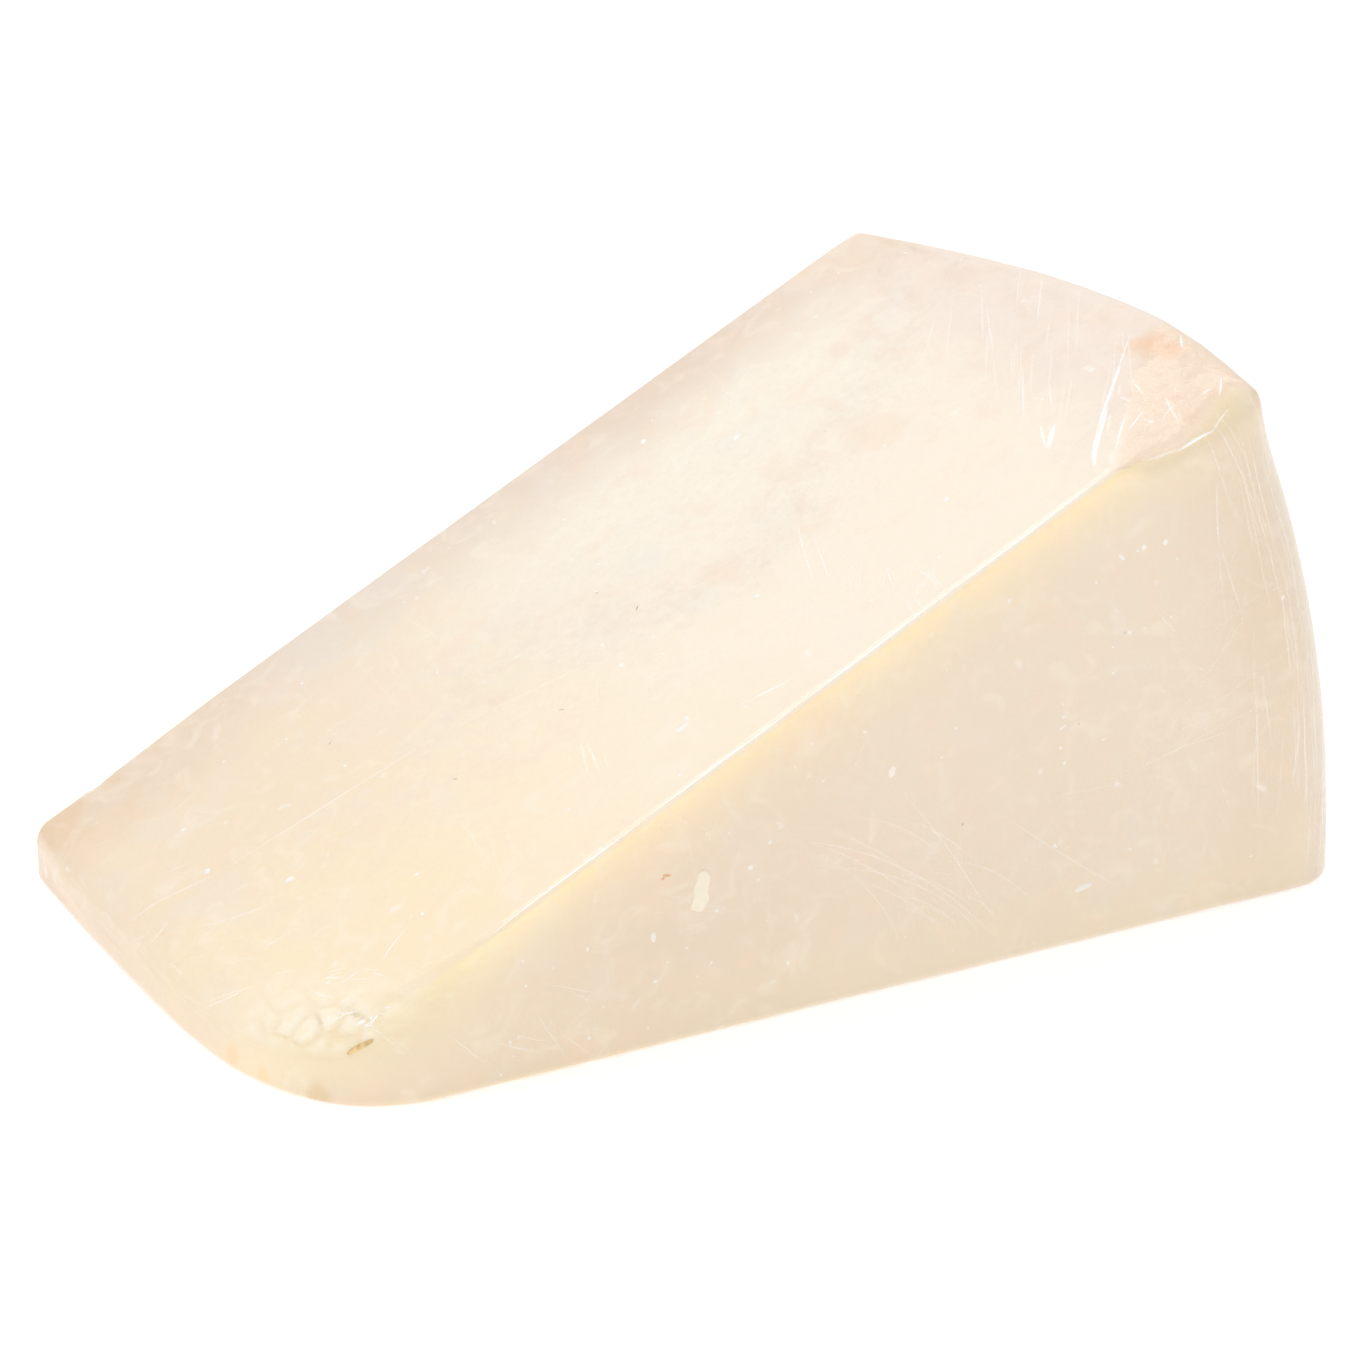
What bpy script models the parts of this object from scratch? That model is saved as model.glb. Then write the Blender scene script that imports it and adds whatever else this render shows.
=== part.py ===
"""A wedge of hard cheese cut from a tall wheel and wrapped tightly in clear film.

The wedge rests on one of its two radial cut faces, with the thin end towards -X and the rind
towards +X. The flat faces of the wheel look towards -Y and +Y. The origin is under the middle
of the wedge, at the height of the table.
"""

import bpy
import bmesh
from mathutils import Vector
from math import radians, sin, cos

# Driving dimensions, in metres and degrees.
WHEEL_RADIUS = 0.2050        # radius of the wheel at its front rim
WHEEL_HEIGHT = 0.1036        # distance between the wheel's flat faces
WEDGE_ANGLE = 26.93          # angle between the two radial cuts
RIND_BULGE = 0.0021          # how far the barrel side stands out past the rims
RIND_BACK_SLOPE = 0.0137     # how much smaller the radius is at the back rim
TIP_RADIUS = 0.0143          # distance from the wheel's axis to the blunt thin end
TIP_BACK_SET = 0.0035        # how far the thin end draws in at the back corner
TIP_FRONT_BREAK = 0.0210     # length broken away at the front corner of the thin end
TIP_BREAK_WIDTH = 0.0240     # width of that break across the wedge
TIP_TOP_LEAN = 0.0110        # extra length missing at the top of the break
CHIP_DEPTH = 0.0090          # depth of the chip in the top edge beside the rind
CHIP_START = 0.1720          # distance from the wheel's axis where the chip starts
CHIP_DEEPEST = (0.1850, 0.1900)  # distances between which the chip is at its full depth
CHIP_END = 0.2060            # distance from the wheel's axis where the chip ends
CHIP_WIDTH = 0.0280          # how far the chip runs back from the front face
EDGE = 0.0042                # distance of the support loops that round the edges

# The cage is a cube of unit size cut by these planes before it is bent into the wedge.
CUTS_ALONG = (0.04, 0.16, 0.42, 0.70, 0.81, 0.86, 0.92, 0.97)
CUTS_ACROSS = (0.05, 0.15, 0.30, 0.62, 0.95)
CUTS_UP = (0.10, 0.50, 0.90)
SUBDIVISION_LEVELS = 2


def clear_scene():
    """Remove every object that the file starts with."""
    for item in list(bpy.data.objects):
        bpy.data.objects.remove(item, do_unlink=True)


def new_collection(name):
    """Make a collection in the scene and return it."""
    collection = bpy.data.collections.new(name)
    bpy.context.scene.collection.children.link(collection)
    return collection


def new_material(name, colour, roughness):
    """Make a plain material with the given colour and roughness."""
    material = bpy.data.materials.new(name)
    material.use_nodes = True
    shader = material.node_tree.nodes["Principled BSDF"]
    shader.inputs["Base Color"].default_value = (*colour, 1.0)
    shader.inputs["Roughness"].default_value = roughness
    return material


def ramp(value, low, high):
    """Rise smoothly from 0 at low to 1 at high."""
    t = min(1.0, max(0.0, (value - low) / (high - low)))
    return t * t * (3.0 - 2.0 * t)


def edge_spaced(t, size):
    """Turn a fraction into a distance, with its first and last tenth at the rounded edges."""
    edge = min(EDGE, 0.28 * size)
    if t <= 0.1:
        return edge * t / 0.1
    if t >= 0.9:
        return size - edge * (1.0 - t) / 0.1
    return edge + (size - 2.0 * edge) * (t - 0.1) / 0.8


def rind_radius(across):
    """Radius of the barrel side: an arch that is highest near the front and falls to the back."""
    arch = RIND_BULGE * 4.0 * across * (1.0 - across)
    return WHEEL_RADIUS + arch - RIND_BACK_SLOPE * across ** 2


def tip_radius(across, up):
    """Distance from the axis to the thin end, longer where the front corner is broken away."""
    depth = across * WHEEL_HEIGHT
    break_share = max(0.0, 1.0 - depth / TIP_BREAK_WIDTH) ** 2
    missing = TIP_FRONT_BREAK + TIP_TOP_LEAN * up ** 2
    return TIP_RADIUS + missing * break_share + TIP_BACK_SET * across ** 4


def chip_depth(radius, across):
    """Depth of the chip below the top face at a point of that face."""
    falling = ramp(radius, CHIP_START, CHIP_DEEPEST[0])
    rising = ramp(radius, CHIP_DEEPEST[1], CHIP_END)
    along_share = falling * (1.0 - rising)
    across_share = max(0.0, 1.0 - across * WHEEL_HEIGHT / CHIP_WIDTH)
    return CHIP_DEPTH * along_share * across_share


def wedge_point(cube_point):
    """Bend a point of the unit cube into the wedge.

    The cube's X runs outward from the wheel's axis, its Y runs from the front face to the
    back face, and its Z turns about the axis from the bottom cut to the top cut.
    """
    along, across, up = cube_point
    inner = tip_radius(across, up)
    outer = rind_radius(across)
    radius = inner + (outer - inner) * along
    full_height = radius * radians(WEDGE_ANGLE)
    height = edge_spaced(up, full_height)
    height -= chip_depth(radius, across) * ramp(up, 0.4, 1.0)
    angle = height / radius
    return Vector((radius * cos(angle), across * WHEEL_HEIGHT, radius * sin(angle)))


def cut_cage(mesh, axis, positions):
    """Cut the cage all the way round at each position along one axis."""
    normal = [0.0, 0.0, 0.0]
    normal[axis] = 1.0
    for position in positions:
        point = [0.0, 0.0, 0.0]
        point[axis] = position
        geometry = mesh.verts[:] + mesh.edges[:] + mesh.faces[:]
        bmesh.ops.bisect_plane(mesh, geom=geometry, plane_co=point, plane_no=normal)


def build_wedge(collection, material):
    """Build the wrapped wedge as one closed smooth body."""
    mesh = bmesh.new()
    bmesh.ops.create_cube(mesh, size=1.0)
    bmesh.ops.translate(mesh, vec=(0.5, 0.5, 0.5), verts=mesh.verts)
    cut_cage(mesh, 0, CUTS_ALONG)
    cut_cage(mesh, 1, CUTS_ACROSS)
    cut_cage(mesh, 2, CUTS_UP)
    for vertex in mesh.verts:
        vertex.co = wedge_point(vertex.co)
    bmesh.ops.recalc_face_normals(mesh, faces=mesh.faces)

    data = bpy.data.meshes.new("parmesan_chunk")
    mesh.to_mesh(data)
    mesh.free()
    wedge = bpy.data.objects.new("parmesan_chunk", data)
    collection.objects.link(wedge)
    data.materials.append(material)
    data.shade_smooth()

    rounding = wedge.modifiers.new("Rounding", 'SUBSURF')
    rounding.levels = SUBDIVISION_LEVELS
    rounding.render_levels = SUBDIVISION_LEVELS
    return wedge


def centre_on_origin(wedge):
    """Move the body so that its finished shape stands on the origin, centred in X and Y."""
    bpy.context.view_layer.update()
    finished = wedge.evaluated_get(bpy.context.evaluated_depsgraph_get())
    points = [vertex.co for vertex in finished.data.vertices]
    low = [min(point[axis] for point in points) for axis in range(3)]
    high = [max(point[axis] for point in points) for axis in range(3)]
    offset = Vector(((low[0] + high[0]) / 2.0, (low[1] + high[1]) / 2.0, low[2]))
    for vertex in wedge.data.vertices:
        vertex.co -= offset


def main():
    """Build the whole part."""
    clear_scene()
    collection = new_collection("parmesan_chunk_part")
    cheese = new_material("cheese", (0.86, 0.76, 0.60), 0.35)
    wedge = build_wedge(collection, cheese)
    centre_on_origin(wedge)


main()
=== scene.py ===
"""A wedge of hard cheese wrapped tightly in clear film, on a white studio floor.

The wedge is a sector of a tall wheel. It lies on one radial cut, with the thin end towards -X,
the rind towards +X and one flat face of the wheel towards -Y.
"""

from math import radians

import bpy
import numpy as np
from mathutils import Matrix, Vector


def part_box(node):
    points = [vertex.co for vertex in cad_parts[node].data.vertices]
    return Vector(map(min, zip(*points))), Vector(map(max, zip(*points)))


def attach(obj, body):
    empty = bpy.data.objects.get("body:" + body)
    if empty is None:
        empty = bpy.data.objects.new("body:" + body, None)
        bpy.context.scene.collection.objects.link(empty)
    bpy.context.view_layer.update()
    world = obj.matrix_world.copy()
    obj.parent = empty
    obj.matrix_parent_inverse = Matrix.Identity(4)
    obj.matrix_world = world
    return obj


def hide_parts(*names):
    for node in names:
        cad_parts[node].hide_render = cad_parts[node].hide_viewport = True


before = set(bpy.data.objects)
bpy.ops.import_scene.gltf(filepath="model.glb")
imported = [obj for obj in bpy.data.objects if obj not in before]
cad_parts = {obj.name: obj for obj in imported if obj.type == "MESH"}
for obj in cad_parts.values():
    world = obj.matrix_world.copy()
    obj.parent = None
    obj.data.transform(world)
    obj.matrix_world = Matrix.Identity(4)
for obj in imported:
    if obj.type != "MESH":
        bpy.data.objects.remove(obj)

bl_info = {
    "name": "Wrapped cheese wedge",
    "version": (1, 0, 0),
    "blender": (4, 5, 0),
    "location": "View3D > Sidebar > Cheese",
    "description": "Builds a wedge of hard cheese in clear film, with its lights and camera",
    "category": "Add Mesh",
}

NODE = "parmesan_chunk"
FILM_CHIP = 0.8  # share of the chip's depth that the film follows
CROWDING = 0.07  # how far the grid lines crowd towards the edges, as a share of the side
TIP_HEIGHT = 0.023  # height of the thin end's top corner
SETTLE_STEPS = 12
CHIP_START = 0.1755  # distance from the axis at which the chip's line leaves the crest
CHIP_LINE = (0.737, 0.676)  # direction square to the chip's line: along the wedge, forwards
LUMP_CELLS = 5
FOLD_STEPS = 25
FOLD_POINTS = 5  # points across a fold
WHITE = (1.0, 1.0, 1.0)

# Painted light and shade, as factors on the tint of the flat face and of the thin end:
# painted shade on the flat face (low, middle, high, rim), a painted glow under the crest that
# is brighter at the nose, and painted shade on the thin end.
PAINTED_SHADE_LOW = (0.970, 0.960, 0.920)
PAINTED_SHADE_MIDDLE = (0.930, 0.905, 0.890)
PAINTED_SHADE_HIGH = (0.905, 0.860, 0.810)
PAINTED_SHADE_RIM = (0.880, 0.872, 0.864)
PAINTED_GLOW_FACTOR = (1.000, 0.965, 0.850)
PAINTED_NOSE_GLOW = (1.000, 1.030, 0.930)
PAINTED_SHADE_END = (0.925, 0.900, 0.885)


# ---- Settings ----

def length(name, default, text):
    """A property that holds a length in metres."""
    return bpy.props.FloatProperty(
        name=name, description=text, default=default, precision=5, unit='LENGTH')


def number(name, default, text):
    """A property that holds a plain number."""
    return bpy.props.FloatProperty(name=name, description=text, default=default, precision=4)


def colour(name, default, text):
    """A property that holds a linear colour."""
    return bpy.props.FloatVectorProperty(
        name=name, description=text, default=default, size=3, subtype='COLOR', min=0.0, max=1.0)


class WedgeSettings(bpy.types.PropertyGroup):
    """Sizes of the wedge."""

    wheel_radius: length("Wheel radius", 0.2063, "Radius of the wheel at its front rim")
    wedge_angle: bpy.props.FloatProperty(
        name="Wedge angle", description="Angle between the two radial cuts",
        default=radians(26.93), subtype='ANGLE')
    rind_bulge: length("Rind bulge", 0.0021, "How far the barrel side stands out past its rims")
    back_slope: length("Back slope", 0.0140, "How much smaller the radius is at the back rim")
    tip_radius: length("Tip radius", 0.0143, "Distance from the wheel's axis to the thin end")
    tip_break: length("Tip break", 0.0187, "Length broken off the front corner of the thin end")
    tip_decay: length("Tip decay", 0.0120, "Width over which the break fades across the wedge")
    tip_lean: length("Tip lean", 0.0140, "Extra length missing at the top of the break")
    chip_depth: length("Chip depth", 0.0042, "Depth of the chip in the top edge by the rind")
    chip_width: length("Chip width", 0.0280, "How far the chip runs back from the front face")
    crest_radius: length("Crest radius", 0.0007, "Rounding of the edges of the radial cuts")
    rim_radius: length("Rim radius", 0.0095, "Rounding of the wheel's rims")
    tip_rounding: length("Tip rounding", 0.0066, "Rounding of the thin end")
    corner_radius: length("Corner radius", 0.0022, "Rounding of the thin end's back corner")
    lift: length("Lift", 0.0005, "How far the top cut stands above the plane through the axis")
    base_radius: length("Base radius", 0.0008, "Rounding of the edges on the table")
    faint_depth: length("Faint depth", 0.00015, "Depth of the faint waves of every face")
    wave_depth: length("Wave depth", 0.0008, "Depth of the slow waves of the top cut")
    tear_depth: length("Tear depth", 0.0011, "Depth of the torn pits of the top cut")
    facet_depth: length("Facet depth", 0.0007, "Depth of the grain of the facet by the rind")
    crumb_depth: length("Crumb depth", 0.0008, "Depth of the grain of the broken thin end")
    seam_depth: length("Seam depth", 0.0006, "Depth of the seams between the curds")
    cells_along: bpy.props.IntProperty(
        name="Cells along", description="Grid cells from the thin end to the rind", default=196)
    cells_across: bpy.props.IntProperty(
        name="Cells across", description="Grid cells from the front to the back", default=110)
    cells_up: bpy.props.IntProperty(
        name="Cells up", description="Grid cells from the bottom to the top", default=72)


class CheeseSettings(bpy.types.PropertyGroup):
    """Colours of the cheese."""

    cream: colour("Cream", (0.902, 0.797, 0.650), "Top cut at the front, towards the rind")
    butter: colour("Butter", (0.920, 0.757, 0.515), "Top cut at the front, at the thin end")
    wax: colour("Wax", (0.888, 0.808, 0.676), "Middle of the top cut, towards the rind")
    straw: colour("Straw", (0.856, 0.696, 0.498), "Middle of the top cut, at the thin end")
    dusk: colour("Dusk", (0.770, 0.635, 0.505), "Far edge of the top cut, towards the rind")
    toast: colour("Toast", (0.770, 0.558, 0.360), "Far edge of the top cut, at the thin end")
    blush: colour("Blush", (0.838, 0.706, 0.606), "Top cut beside the rind")
    tan: colour("Tan", (0.826, 0.708, 0.550), "Flat face of the wheel")
    oat: colour("Oat", (0.805, 0.668, 0.508), "Flat face of the wheel, at the thin end")
    # Painted glow: light shining through the crest, painted on the flat face under it.
    painted_glow_tint: colour("Gold", (0.985, 0.812, 0.515), "Glow of the flat face under the crest")
    # Painted shade: the darker tint of the crevices between the curds.
    seam_shade: colour("Amber", (0.860, 0.640, 0.330), "Seams between the curds of the broken thin end")
    chalk: colour("Chalk", (0.930, 0.900, 0.840), "White crystals and flecks")
    bone: colour("Bone", (0.860, 0.800, 0.710), "Crystals on the flat face")
    rind: colour("Rind", (0.790, 0.640, 0.465), "Barrel side of the wheel")
    curd: colour("Curd", (0.995, 0.940, 0.800), "Fresh curds in the broken thin end")
    rust: colour("Rust", (0.800, 0.400, 0.200), "Crooked grain on the flat face")
    # Painted shade: the dark tint of a slit in the broken thin end.
    slit_shade: colour("Honey", (0.850, 0.590, 0.230), "Slit in the broken thin end")
    flake: colour("Flake", (0.855, 0.765, 0.600), "Yellow flake on the flat face")
    # Painted shade: the dark tint of small pits.
    pit_shade: colour("Bark", (0.600, 0.490, 0.390), "Small dark pits")
    sand: colour("Sand", (0.752, 0.600, 0.472), "Far edge of the top cut, past its middle")
    crust: colour("Crust", (0.813, 0.645, 0.480), "Far corner of the top cut by the rind")
    clay: colour("Clay", (0.800, 0.662, 0.498), "Flat face beside the rind")
    peach: colour("Peach", (0.90, 0.69, 0.52), "Warm blotches")
    fog: colour("Fog", (0.80, 0.755, 0.700), "Cool blotches")
    milk: colour("Milk", (0.93, 0.86, 0.72), "Pale blotches")
    grit: colour("Grit", (0.80, 0.65, 0.53), "Fine mottling")
    tear: colour("Tear", (0.84, 0.68, 0.57), "Torn places of the top cut")
    facet: colour("Facet", (0.835, 0.660, 0.495), "Coarse facet beside the rind")
    ember: colour("Ember", (0.840, 0.600, 0.420), "Dark grains of the coarse facet")
    crumb: colour("Crumb", (0.940, 0.770, 0.470), "Dark grains of the broken thin end")


class FilmSettings(bpy.types.PropertyGroup):
    """Sizes and finish of the clear film."""

    gap: length("Gap", 0.00022, "Distance from the cheese to the film")
    ripple: length("Ripple", 0.00012, "Height of the ripples of the film")
    fold_lift: length("Fold lift", 0.00015, "Distance from the film's gap to a fold")
    fold_rise: number("Fold rise", 0.08, "Height of a fold as a share of its half width")
    waver: length("Waver", 0.0001, "Random sideways shift of a fold 20 mm long")
    veil: number("Veil", 0.02, "Share of the light that the flat film scatters back")
    roughness: number("Roughness", 0.12, "Roughness of the film")
    rim_share: number("Rim share", 0.25, "Largest share of light that the film mirrors")


class StageSettings(bpy.types.PropertyGroup):
    """Camera and lights."""

    camera_place: bpy.props.FloatVectorProperty(
        name="Camera place", description="Position of the camera", size=3,
        default=(-0.3723, -0.6964, 0.3792), unit='LENGTH')
    azimuth: bpy.props.FloatProperty(
        name="Azimuth", description="Turn of the view from +Y towards +X",
        default=radians(28.008), subtype='ANGLE')
    elevation: bpy.props.FloatProperty(
        name="Elevation", description="How steeply the camera looks down",
        default=radians(23.475), subtype='ANGLE')
    lens: number("Lens", 141.24, "Focal length in millimetres on a 36 mm sensor")
    world_light: number("World light", 0.842, "Strength of the white surroundings")
    floor_glow: number("Floor glow", 0.31, "Light given out by the white floor")


# ---- Shader graph ----

class Term:
    """A number in a shader graph. Python arithmetic on it adds Math nodes."""

    def __init__(self, graph, socket):
        self.graph = graph
        self.socket = socket

    def math(self, operation, *others):
        """Apply a Math node to this number and the others."""
        return self.graph.math(operation, self, *others)

    def __add__(self, other):
        return self.graph.math('ADD', self, other)

    def __radd__(self, other):
        return self.graph.math('ADD', other, self)

    def __sub__(self, other):
        return self.graph.math('SUBTRACT', self, other)

    def __rsub__(self, other):
        return self.graph.math('SUBTRACT', other, self)

    def __mul__(self, other):
        return self.graph.math('MULTIPLY', self, other)

    def __rmul__(self, other):
        return self.graph.math('MULTIPLY', other, self)


class Graph:
    """The node graph of one material."""

    def __init__(self, name):
        self.material = bpy.data.materials.new(name)
        self.material.use_nodes = True
        self.tree = self.material.node_tree
        self.tree.nodes.clear()
        self.output = self.tree.nodes.new("ShaderNodeOutputMaterial")

    def connect(self, value, target):
        """Link a term to an input, or set the input to a plain value."""
        if isinstance(value, Term):
            self.tree.links.new(value.socket, target)
        elif isinstance(target.default_value, float) or isinstance(value, str):
            target.default_value = value
        elif len(target.default_value) == 4 and len(value) == 3:
            target.default_value = (*value, 1.0)
        else:
            target.default_value = tuple(value)

    def node(self, kind, settings=None, values=None, output=0):
        """Add a node of any type with its settings and input values, and return one output."""
        node = self.tree.nodes.new(kind)
        for key, value in (settings or {}).items():
            setattr(node, key, value)
        for key, value in (values or {}).items():
            self.connect(value, node.inputs[key])
        return Term(self, node.outputs[output])

    def math(self, operation, *values):
        """A Math node on up to three numbers."""
        return self.node("ShaderNodeMath", {"operation": operation}, dict(enumerate(values)))

    def vector(self, operation, *values):
        """A Vector Math node on up to three vectors."""
        return self.node("ShaderNodeVectorMath", {"operation": operation},
                         dict(enumerate(values)))

    def mix(self, share, first, second):
        """A blend from the first colour to the second."""
        return self.node("ShaderNodeMix", {"data_type": 'RGBA'},
                         {0: share, 6: first, 7: second}, 2)

    def step(self, value, low, high):
        """A smooth rise from 0 at low to 1 at high."""
        return self.node("ShaderNodeMapRange", {"interpolation_type": 'SMOOTHSTEP'},
                         {"Value": value, "From Min": low, "From Max": high})

    def noise(self, place, scale, detail=3.0, rough=0.5, distortion=0.0):
        """Fractal noise from 0 to 1."""
        return self.node("ShaderNodeTexNoise", None,
                         {"Vector": place, "Scale": scale, "Detail": detail,
                          "Roughness": rough, "Distortion": distortion})

    def split(self, vector):
        """The three numbers of a vector."""
        node = self.tree.nodes.new("ShaderNodeSeparateXYZ")
        self.connect(vector, node.inputs[0])
        return [Term(self, socket) for socket in node.outputs]

    def bump(self, height, distance, strength=1.0):
        """A normal tilted by a height."""
        return self.node("ShaderNodeBump", None,
                         {"Height": height, "Distance": distance, "Strength": strength})

    def finish(self, surface):
        """Send a shader to the material's output and return the material."""
        self.tree.links.new(surface.socket, self.output.inputs["Surface"])
        return self.material


# ---- Shape of the wedge ----

def ramp(value, low, high):
    """Rise smoothly from 0 at low to 1 at high: t * t * (3 - 2 t)."""
    t = np.clip((value - low) / (high - low), 0.0, 1.0)
    return t * t * (3.0 - 2.0 * t)


def lattice_noise(points, size, seed):
    """Smooth noise from -1 to 1.

    Random numbers sit on a cubic lattice of the given size, and each point takes the mean of
    the eight around it, weighted by t * t * (3 - 2 t) along each axis.
    """
    table = np.random.default_rng(seed).uniform(-1.0, 1.0, (32, 32, 32))
    cell = np.floor(points / size).astype(int)
    t = points / size - cell
    t = t * t * (3.0 - 2.0 * t)
    total = np.zeros(len(points))
    for corner in np.ndindex(2, 2, 2):
        weight = np.prod(np.where(corner, t, 1.0 - t), axis=1)
        i, j, k = ((cell + corner) % 32).T
        total += weight * table[i, j, k]
    return total


def rough_noise(points, size, octaves, seed):
    """Sum of lattice noise at sizes that halve, with weights that halve too."""
    total = np.zeros(len(points))
    for octave in range(octaves):
        total += lattice_noise(points, size / 2 ** octave, seed + octave) / 2 ** octave
    return total


def cracks(points, size, seed):
    """Thin valleys between rounded cells, from 0 inside a cell to 1 at its edge.

    One point sits at random in each cube of a lattice. The value falls with the difference of
    the distances to the two nearest of them.
    """
    table = np.random.default_rng(seed).uniform(0.1, 0.9, (16, 16, 16, 3))
    cell = np.floor(points / size).astype(int)
    nearest = np.full((2, len(points)), 9.0)
    for corner in np.ndindex(3, 3, 3):
        there = cell + corner - 1
        i, j, k = (there % 16).T
        gap = np.linalg.norm(there + table[i, j, k] - points / size, axis=1)
        nearest[1] = np.minimum(nearest[1], np.maximum(nearest[0], gap))
        nearest[0] = np.minimum(nearest[0], gap)
    return np.exp(-((nearest[1] - nearest[0]) / 0.22) ** 2)


def box_shell(along, across, up):
    """A closed grid on the six faces of a unit box.

    Each face is a regular grid of cells. Corners that several faces share become one vertex.
    Returns the vertices, from 0 to 1 on each axis, and the four corners of each face.
    """
    counts = np.array((along, across, up))
    quads = []
    for axis in range(3):
        first = (axis + 1) % 3
        second = (axis + 2) % 3
        a, b = np.meshgrid(np.arange(counts[first]), np.arange(counts[second]), indexing="ij")
        turns = np.array(((0, 0), (1, 0), (1, 1), (0, 1)))
        for side in (0, counts[axis]):
            corners = np.zeros((a.size, 4, 3), int)
            corners[:, :, axis] = side
            corners[:, :, first] = a.reshape(-1, 1) + turns[:, 0]
            corners[:, :, second] = b.reshape(-1, 1) + turns[:, 1]
            quads.append(corners if side else corners[:, ::-1])
    corners = np.concatenate(quads)
    points, index = np.unique(corners.reshape(-1, 3), axis=0, return_inverse=True)
    return points / counts, index.reshape(-1, 4)


def round_meet(first, second, radius):
    """The larger of two distances, with the edge where they are equal rounded to a radius."""
    corner = np.hypot(np.maximum(first + radius, 0.0), np.maximum(second + radius, 0.0))
    return np.minimum(np.maximum(first, second), -radius) + corner


class Wedge:
    """The smooth form of the wedge, in a frame whose Y axis is the wheel's axis."""

    def __init__(self, settings):
        self.s = settings
        low, high = (np.array(corner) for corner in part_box(NODE))
        self.width = high[1] - low[1]
        self.origin = np.array((low[0] - settings.tip_radius, low[1], low[2]))
        self.sin = np.sin(settings.wedge_angle)
        self.cos = np.cos(settings.wedge_angle)

    def rind(self, y):
        """Radius of the barrel side: an arch across the width, less a slope to the back."""
        t = np.clip(y / self.width, 0.0, 1.0)
        return self.s.wheel_radius + self.s.rind_bulge * 4.0 * t * (1.0 - t) \
            - self.s.back_slope * t ** 2

    def tip(self, y, z):
        """Place of the thin end: a break that decays from the front, and a worn back corner."""
        t = np.clip(y / self.width, 0.0, 1.0)
        share = np.exp(-np.maximum(y, 0.0) / self.s.tip_decay)
        lean = ramp(z, 0.006, 0.029)
        return self.s.tip_radius + 0.0015 * t ** 4 \
            + share * (self.s.tip_break + self.s.tip_lean * lean)

    def past_line(self, radius, y):
        """Distance past the line that runs from the crest back to the rind, round the chip."""
        along, forwards = CHIP_LINE
        return (radius - CHIP_START) * along - y * forwards

    def chip(self, radius, y, share=1.0):
        """Depth of the chip below the top cut at a distance from the axis and from the front.

        It deepens past the chip's line, as t * t * (3 - 2 t), gets shallower again towards the
        rind and fades to nothing at the back.
        """
        inner = ramp(self.past_line(radius, y), 0.0, 0.0090)
        outer = 1.0 - 0.42 * ramp(radius, 0.190, 0.204)
        fade = np.clip(1.0 - y / self.s.chip_width, 0.0, 1.0)
        return share * self.s.chip_depth * inner * outer * fade

    def facet(self, radius, y):
        """Mask of the coarse facet past the chip's line."""
        return ramp(self.past_line(radius, y), -0.0002, 0.0026) * (1.0 - ramp(y, 0.022, 0.030))

    def below_top(self, p):
        """Depth of a point below the plane of the top cut."""
        return p[:, 0] * self.sin - p[:, 2] * self.cos

    def on_cut(self, place):
        """Points on the top cut, from distances to the axis and to the front."""
        radius, y = np.asarray(place).T
        lift = self.s.lift
        return np.stack((radius * self.cos - lift * self.sin, y,
                         radius * self.sin + lift * self.cos), axis=1)

    def on_front(self, place):
        """Points on the flat face, from distances along the table and above it."""
        x, z = np.asarray(place).T
        return np.stack((x, np.zeros(len(x)), z), axis=1)

    def on_rim(self, place):
        """Points on the flat face, from distances in from the rim and above the table."""
        inset, z = np.asarray(place).T
        return self.on_front(np.stack((np.sqrt(self.s.wheel_radius ** 2 - z ** 2) - inset, z), 1))

    def distance(self, p, chip_share):
        """Signed distance to the wedge: the rounded meeting of all its faces.

        The radius of the rounding drifts along each edge: the rims are blunt low down and sharp
        at the top, and the crest is sharp except at the thin end, at the rind and at the chip.
        """
        s = self.s
        radius = np.hypot(p[:, 0], p[:, 2])
        below = self.below_top(p)
        rim = s.crest_radius + (s.rim_radius - s.crest_radius) * ramp(below, -0.006, 0.020)
        body = round_meet(radius - self.rind(p[:, 1]), -p[:, 1], rim)
        body = round_meet(body, p[:, 1] - self.width, rim * 0.8)
        blunt = s.corner_radius + (s.tip_rounding - s.corner_radius) * np.exp(-p[:, 1] / 0.025)
        body = round_meet(body, self.tip(p[:, 1], p[:, 2]) - p[:, 0], blunt)
        chip = self.chip(radius, p[:, 1], chip_share)
        top = chip - below - s.lift
        at_end = s.tip_rounding + (s.corner_radius - s.tip_rounding) * ramp(p[:, 1], 0.070, 0.098)
        crest = s.crest_radius + (at_end - s.crest_radius) * (1.0 - ramp(radius, 0.028, 0.060))
        at_rind = 0.0024 + 0.0016 * np.exp(-(p[:, 1] / 0.015) ** 2)
        crest += at_rind * ramp(radius, 0.186, 0.202) + 0.0022 * ramp(chip, 0.0004, 0.0030)
        body = round_meet(body, top, crest)
        return round_meet(body, -p[:, 2], s.base_radius)

    def surface(self, chip_share=1.0):
        """Points, outward directions and faces of the smooth closed surface.

        A box grid is bent so that its first axis runs out from the wheel's axis, its second
        runs across the wedge and its third turns from the bottom cut to the top cut. Each
        point then moves along the slope of the distance until the distance is zero.
        """
        s = self.s
        t, faces = box_shell(s.cells_along, s.cells_across, s.cells_up)
        t = t - CROWDING * np.sin(2.0 * np.pi * t)
        y = t[:, 1] * self.width
        inner = self.tip(y, TIP_HEIGHT * t[:, 2])
        radius = inner + (self.rind(y) - inner) * t[:, 0]
        angle = t[:, 2] * (s.wedge_angle - self.chip(radius, y, chip_share) / radius)
        p = np.stack((radius * np.cos(angle), y, radius * np.sin(angle)), axis=1)
        p, normal = self.settle(p, chip_share)
        return p, normal, faces

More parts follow.
